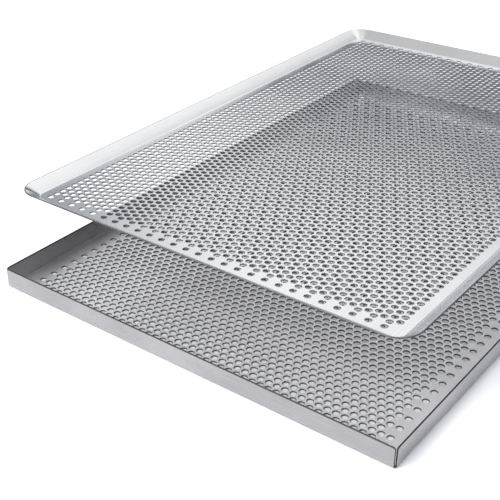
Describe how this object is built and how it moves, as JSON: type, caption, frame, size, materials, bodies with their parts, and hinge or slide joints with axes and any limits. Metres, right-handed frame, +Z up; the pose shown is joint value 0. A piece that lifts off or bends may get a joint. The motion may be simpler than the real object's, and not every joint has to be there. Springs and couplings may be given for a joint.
{
  "type": "baguette tray",
  "caption": "Perforated aluminium baking tray with straight folded walls, and above it a perforated tray with an outward sloping rim.",
  "frame": {"origin": "centre of the underside of the lower tray's floor, the face the set rests on", "axes": "+X along the trays' short side, towards the corner nearest the viewer on the right; +Y along the long side, towards the back; +Z up out of the trays"},
  "size_m": [0.4195, 0.6265, 0.0781],
  "materials": {
    "satin_aluminium": "brushed satin",
    "bright_aluminium": "bright mill finish"
  },
  "bodies": {
    "straight_tray": {"straight_tray_floor": "satin_aluminium", "straight_tray_front_wall": "satin_aluminium", "straight_tray_back_wall": "satin_aluminium", "straight_tray_left_wall": "satin_aluminium", "straight_tray_right_wall": "satin_aluminium"},
    "sloped_tray": {"sloped_tray_floor": "bright_aluminium", "sloped_tray_front_rim": "bright_aluminium", "sloped_tray_back_rim": "bright_aluminium", "sloped_tray_left_rim": "bright_aluminium", "sloped_tray_right_rim": "bright_aluminium", "sloped_tray_front_left_corner": "bright_aluminium", "sloped_tray_front_right_corner": "bright_aluminium", "sloped_tray_back_left_corner": "bright_aluminium", "sloped_tray_back_right_corner": "bright_aluminium"}
  },
  "joints": [
    {"name": "upper_tray_lift", "type": "slide", "parent": "straight_tray", "child": "sloped_tray", "axis": [0, 0, 1], "range_m": [0, 0.12]}
  ]
}
